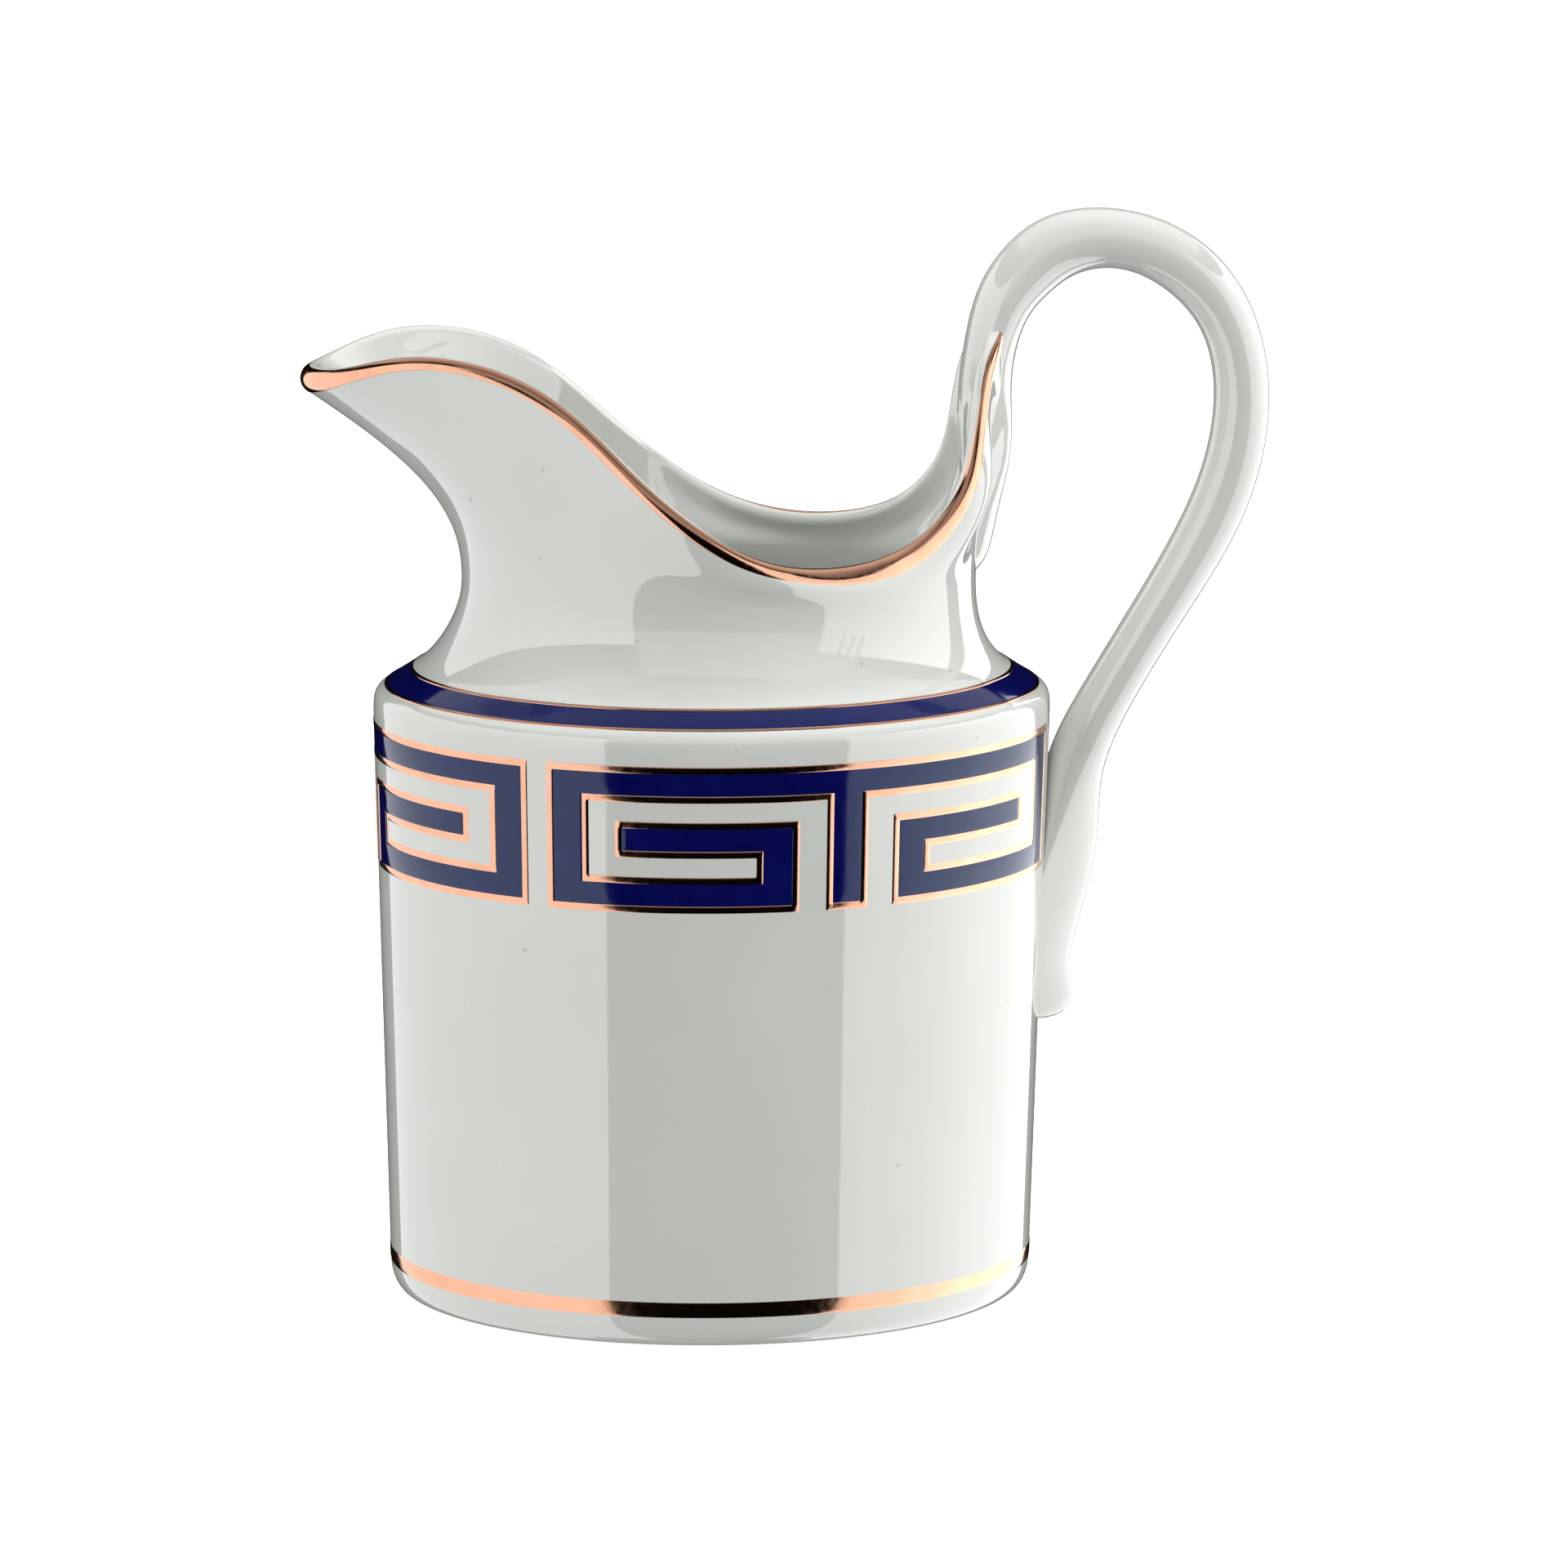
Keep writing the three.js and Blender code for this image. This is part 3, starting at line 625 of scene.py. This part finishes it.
# ---- rim gilding ---------------------------------------------------------------------------------
def make_rim_gilding():
    """Gold over the lip and a little way down the outside, ending in points beside the handle."""
    steps = GILT_STEPS
    degrees = np.linspace(GILT_START, 360 - GILT_START, steps)
    from_handle = np.minimum(degrees, 360 - degrees)
    full = smoothstep(from_handle, GILT_START - 0.5, GILT_FULL)
    skirt_keys = np.array(SKIRT, float)
    skirt = spline(skirt_keys[:, 0], skirt_keys[:, 1:], from_handle)[:, 0] * full
    centre, _, _, out = lip(degrees)
    chord = np.linalg.norm(centre - oval(WAIST, degrees), axis=-1)
    first_turn = GILT_POINT[0] * (1 - full)
    over_keys = np.array(GILT_OVER, float)
    over = np.interp(from_handle, over_keys[:, 0], over_keys[:, 1])
    last_turn = GILT_POINT[1] + (over - GILT_POINT[1]) * full

    def row(share, offset):
        """Share runs from 0 at the skirt's lower edge, past SKIRT_SHARE at the lip, to 1."""
        if share >= SKIRT_SHARE:
            over_share = (share - SKIRT_SHARE) / (1 - SKIRT_SHARE)
            return lip_row(degrees, first_turn + (last_turn - first_turn) * over_share, offset)
        below = 1 - share / SKIRT_SHARE
        down = skirt * below
        on_wall = neck_wall(degrees, 1, 1 - down / (WALL_SPEED * chord)) + out * offset
        on_lip = lip_row(degrees, first_turn - END_SPREAD * below * (1 - full), offset)
        return on_lip + (on_wall - on_lip) * smoothstep(full, 0.1, 0.9)[:, None]

    shares = [0, 0.05, 0.12, 0.2, 0.28, 0.35, 0.42, 0.5, 0.58, 0.66, 0.74, 0.82, 0.88, 0.93, 0.97, 1]
    lift = [GOLD_LIFT * min(1, (6 * s) ** 0.5, (8 * (1 - s)) ** 0.5) for s in shares]
    top = np.stack([row(s, h) for s, h in zip(shares, lift)], axis=1)
    under = np.stack([row(s, -BURIED) for s in shares], axis=1)
    across = len(shares)
    loops = np.concatenate([top, under[:, ::-1]], axis=1)
    count = loops.shape[1]
    points = loops.reshape(-1, 3)
    faces = []
    for r in range(steps - 1):
        for c in range(count):
            d = (c + 1) % count
            faces.append((r * count + d, r * count + c, (r + 1) * count + c, (r + 1) * count + d))
    for c in range(across - 1):
        end = (steps - 1) * count
        faces.append((c, c + 1, count - 2 - c, count - 1 - c))
        faces.append((end + c + 1, end + c, end + count - 1 - c, end + count - 2 - c))
    make_piece("rim_gilding", points, faces, GOLD, "rim_gold_line")


# ---- key fret ------------------------------------------------------------------------------------
table_degrees = np.arange(-270, 450.01, 0.25)
table_middle = np.radians(table_degrees[:-1] + 0.125)
table_rate = drum_at(FRET_BOTTOM + FRET_HEIGHT / 2)[0] * np.hypot(
    np.sin(table_middle), OVAL_DRUM * np.cos(table_middle))
table_arc = np.concatenate([[0], np.cumsum(table_rate * math.radians(0.25))])
table_arc -= np.interp(-90, table_degrees, table_arc)
arc_at_handle = float(np.interp(0, table_degrees, table_arc))
perimeter = 4 * arc_at_handle

SCROLL_RISE = (FRET_HEIGHT - 3 * FRET_BEAM) / 2
HALF_UNIT = [
    (0, FRET_BAR, 0, FRET_HEIGHT),
    (0, FRET_SCROLL, 0, FRET_BEAM),
    (FRET_SCROLL - FRET_BAR, FRET_SCROLL, 0, 2 * FRET_BEAM + SCROLL_RISE),
    (FRET_BAR + FRET_END_GAP, FRET_SCROLL, FRET_BEAM + SCROLL_RISE, 2 * FRET_BEAM + SCROLL_RISE),
]
UNIT_BARS = [
    (0, FRET_UNIT, FRET_HEIGHT - FRET_BEAM, FRET_HEIGHT),
    ((FRET_UNIT - FRET_BAR) / 2, (FRET_UNIT + FRET_BAR) / 2, 0, FRET_HEIGHT),
    *HALF_UNIT,
    *[(FRET_UNIT - to, FRET_UNIT - start, low, high) for start, to, low, high in HALF_UNIT],
]


def shrunk(bars, inset):
    return [(start + inset, to - inset, low + inset, high - inset) for start, to, low, high in bars]


def inside_bars(bars, x, z):
    return any(start < x < to and low < z < high for start, to, low, high in bars)


def grid_lines(edges, low, high, spacing):
    """Grid positions: every edge, a line just beside it each way, and even steps between."""
    even = np.linspace(low, high, int((high - low) / spacing) + 2)
    beside = [edge + side * EDGE_ROUND for edge in edges for side in (-1, 0, 1)]
    lines = sorted({round(float(v), 4) for v in [*beside, low, high] if low <= v <= high})
    for value in even:
        if min(abs(value - line) for line in lines) > EDGE_ROUND:
            lines.append(float(value))
    return sorted(lines)


def make_fret_piece(name, start, bars, holes, lift, material, node):
    """The cells inside bars and outside holes, raised by lift and rounded along their edges."""
    edges = [*bars, *holes]
    trim = arc_at_handle + HANDLE_CLEARING - start if start > 0 else 0
    uprights = sorted({edge for bar in edges for edge in bar[:2]})
    levels = sorted({edge for bar in edges for edge in bar[2:]})
    left = max(trim, uprights[0])
    across = grid_lines([e for e in uprights if e > trim], left, uprights[-1], FRET_GRID[0])
    up = grid_lines(levels, levels[0], levels[-1], FRET_GRID[1])
    filled = np.zeros((len(across) + 1, len(up) + 1), bool)
    for i in range(len(across) - 1):
        for j in range(len(up) - 1):
            x = (across[i] + across[i + 1]) / 2
            z = (up[j] + up[j + 1]) / 2
            filled[i + 1, j + 1] = inside_bars(bars, x, z) and not inside_bars(holes, x, z)
    points = []
    numbers = {}
    faces = []

    def corner(i, j, top):
        key = (i, j, top)
        if key not in numbers:
            inner = filled[i:i + 2, j:j + 2].all()
            offset = (lift if inner else FRET_EDGE_LIFT) if top else -BURIED
            degrees = np.interp(start + across[i], table_arc, table_degrees)
            numbers[key] = len(points)
            points.append(oval(drum_at(FRET_BOTTOM + up[j]), degrees, offset))
        return numbers[key]

    for i in range(len(across) - 1):
        for j in range(len(up) - 1):
            if not filled[i + 1, j + 1]:
                continue
            ends = [(i, j), (i + 1, j), (i + 1, j + 1), (i, j + 1)]
            high = [corner(*end, True) for end in ends]
            low = [corner(*end, False) for end in ends]
            faces.append(tuple(high))
            faces.append(tuple(reversed(low)))
            beyond = [(i + 1, j), (i + 2, j + 1), (i + 1, j + 2), (i, j + 1)]
            for k, neighbour in enumerate(beyond):
                if not filled[neighbour]:
                    n = (k + 1) % 4
                    faces.append((low[k], low[n], high[n], high[k]))
    make_piece(name, points, faces, material, node)


def make_fret():
    """Three units run round the drum from the handle; the last is trimmed where the handle stands."""
    pitch = FRET_UNIT + FRET_UNIT_GAP
    hollow = shrunk(UNIT_BARS, FRET_GOLD)
    starts = {
        "spout": FRET_FRONT_START - pitch,
        "front": FRET_FRONT_START,
        "back": FRET_FRONT_START + perimeter - 2 * pitch,
    }
    for side, start in starts.items():
        make_fret_piece(f"key_fret_blue_{side}", start, hollow, [], COBALT_LIFT, COBALT,
                        f"fret_cobalt_{side}")
        make_fret_piece(f"key_fret_gold_{side}", start, UNIT_BARS, hollow, GOLD_LIFT, GOLD,
                        f"fret_gold_{side}")


# ---- light and surroundings ----------------------------------------------------------------------
WORLD_LIGHT = 0.6
DIM_ROOM = 0.004                 # grey of the room that the glaze mirrors between the cards
FLOOR_GLOW = 0.58
FLOOR_SIZE = 8.0                 # metres from the middle to an edge
LEFT_LIGHT = 1.6
RIGHT_LIGHT = 2.9
TOP_LIGHT = 0.9
FRONT_LIGHT = 0.5
CARD_RADIUS = 0.9                # metres from the jug to the side cards
CARD_STEPS = 24
CARD_RISE = 0.5                  # share of a card's depth over which its glow rises
JUG_MIDDLE = Vector((0, 0, 0.07))


def emitter(name, strength, dim_end):
    """A glow that rises along the card's depth from dim_end of its strength to all of it."""
    material, nodes, links, shader = new_material(name)
    nodes.remove(shader)
    glow = nodes.new("ShaderNodeEmission")
    where = nodes.new("ShaderNodeTexCoord")
    apart = nodes.new("ShaderNodeSeparateXYZ")
    links.new(where.outputs["Generated"], apart.inputs[0])
    rise = ramp(nodes, links, apart.outputs["Y"], 0, CARD_RISE, dim_end * strength, strength)
    links.new(rise, glow.inputs["Strength"])
    links.new(glow.outputs[0], nodes["Material Output"].inputs["Surface"])
    return material


def reflector(name, points, faces, strength, dim_end):
    """A soft white card that only shows in the glaze and the gold."""
    mesh = bpy.data.meshes.new(name)
    mesh.from_pydata(points, [], faces)
    mesh.materials.append(emitter(name, strength, dim_end))
    card = bpy.data.objects.new(name, mesh)
    bpy.context.scene.collection.objects.link(card)
    card.visible_camera = False
    card.visible_diffuse = False
    card.visible_shadow = False


def side_card(name, start, end, low, high, strength, dim_end=1.0):
    """A curved upright card round the jug, between two angles from the front, in degrees."""
    points = []
    for step in range(CARD_STEPS + 1):
        turn = math.radians(start + (end - start) * step / CARD_STEPS)
        x = CARD_RADIUS * math.sin(turn)
        y = -CARD_RADIUS * math.cos(turn)
        points += [(x, y, low), (x, y, high)]
    faces = [(2 * i, 2 * i + 2, 2 * i + 3, 2 * i + 1) for i in range(CARD_STEPS)]
    reflector(name, points, faces, strength, dim_end)


def top_card(name, x, y, height, width, depth, strength, dim_end):
    corners = ((-1, -1), (1, -1), (1, 1), (-1, 1))
    points = [(x + sx * width / 2, y + sy * depth / 2, height) for sx, sy in corners]
    reflector(name, points, [(0, 1, 2, 3)], strength, dim_end)


def soft_light(name, place_at, size, power):
    """An area light aimed at the jug that the glaze doesn't mirror."""
    data = bpy.data.lights.new(name, "AREA")
    data.shape = "DISK"
    data.size = size
    data.energy = power
    light = bpy.data.objects.new(name, data)
    bpy.context.scene.collection.objects.link(light)
    light.location = place_at
    aim = JUG_MIDDLE - Vector(place_at)
    light.rotation_mode = "QUATERNION"
    light.rotation_quaternion = aim.to_track_quat("-Z", "Y")
    light.visible_glossy = False


def make_world():
    """Even pale surroundings for soft light, and a dim room for what the glaze mirrors."""
    world = bpy.data.worlds.new("studio")
    bpy.context.scene.world = world
    world.use_nodes = True
    nodes = world.node_tree.nodes
    links = world.node_tree.links
    pale = nodes["Background"]
    pale.inputs["Color"].default_value = (1, 1, 1, 1)
    pale.inputs["Strength"].default_value = WORLD_LIGHT
    dim = nodes.new("ShaderNodeBackground")
    dim.inputs["Color"].default_value = (DIM_ROOM, DIM_ROOM, DIM_ROOM, 1)
    rays = nodes.new("ShaderNodeLightPath")
    choose = nodes.new("ShaderNodeMixShader")
    links.new(rays.outputs["Is Glossy Ray"], choose.inputs[0])
    links.new(pale.outputs[0], choose.inputs[1])
    links.new(dim.outputs[0], choose.inputs[2])
    links.new(choose.outputs[0], nodes["World Output"].inputs["Surface"])


def make_floor():
    size = FLOOR_SIZE
    corners = [(-size, -size, 0), (size, -size, 0), (size, size, 0), (-size, size, 0)]
    mesh = bpy.data.meshes.new("floor")
    mesh.from_pydata(corners, [], [(0, 1, 2, 3)])
    material, nodes, links, shader = new_material("pale_floor")
    tone = ramp(nodes, links, noise(nodes, links, 3), 0.3, 0.7, 0.86, 0.88)
    links.new(tone, shader.inputs["Base Color"])
    shader.inputs["Roughness"].default_value = 0.9
    shader.inputs["Specular IOR Level"].default_value = 0.0
    shader.inputs["Emission Color"].default_value = (1, 1, 1, 1)
    shader.inputs["Emission Strength"].default_value = FLOOR_GLOW
    mesh.materials.append(material)
    floor = bpy.data.objects.new("floor", mesh)
    bpy.context.scene.collection.objects.link(floor)
    floor.visible_glossy = False
    floor.visible_diffuse = False


def make_studio():
    """Cards for the reflections, round the jug and over it, and lights for its soft shading."""
    side_card("left_card", -31.5, -143, -3.0, 0.6, LEFT_LIGHT)
    side_card("right_card", 36, 143, -3.0, 0.6, RIGHT_LIGHT, 0.55)
    side_card("front_card", -31.5, 55, 0.35, 1.2, FRONT_LIGHT)
    top_card("top_card", 0.1, 0.2, 0.8, 1.4, 1.4, TOP_LIGHT, 0.25)
    soft_light("left_light", (-0.8, -0.5, 0.5), 0.6, 2.0)
    soft_light("right_light", (0.9, -0.3, 0.5), 0.6, 3.6)
    soft_light("high_light", (0.0, 0.1, 1.1), 0.7, 4.6)
    make_world()
    make_floor()
    bpy.context.scene.view_settings.view_transform = "Standard"


# ---- assembly ------------------------------------------------------------------------------------
make_camera()
make_studio()
make_body()
make_handle()
make_bands()
make_rim_gilding()
make_fret()
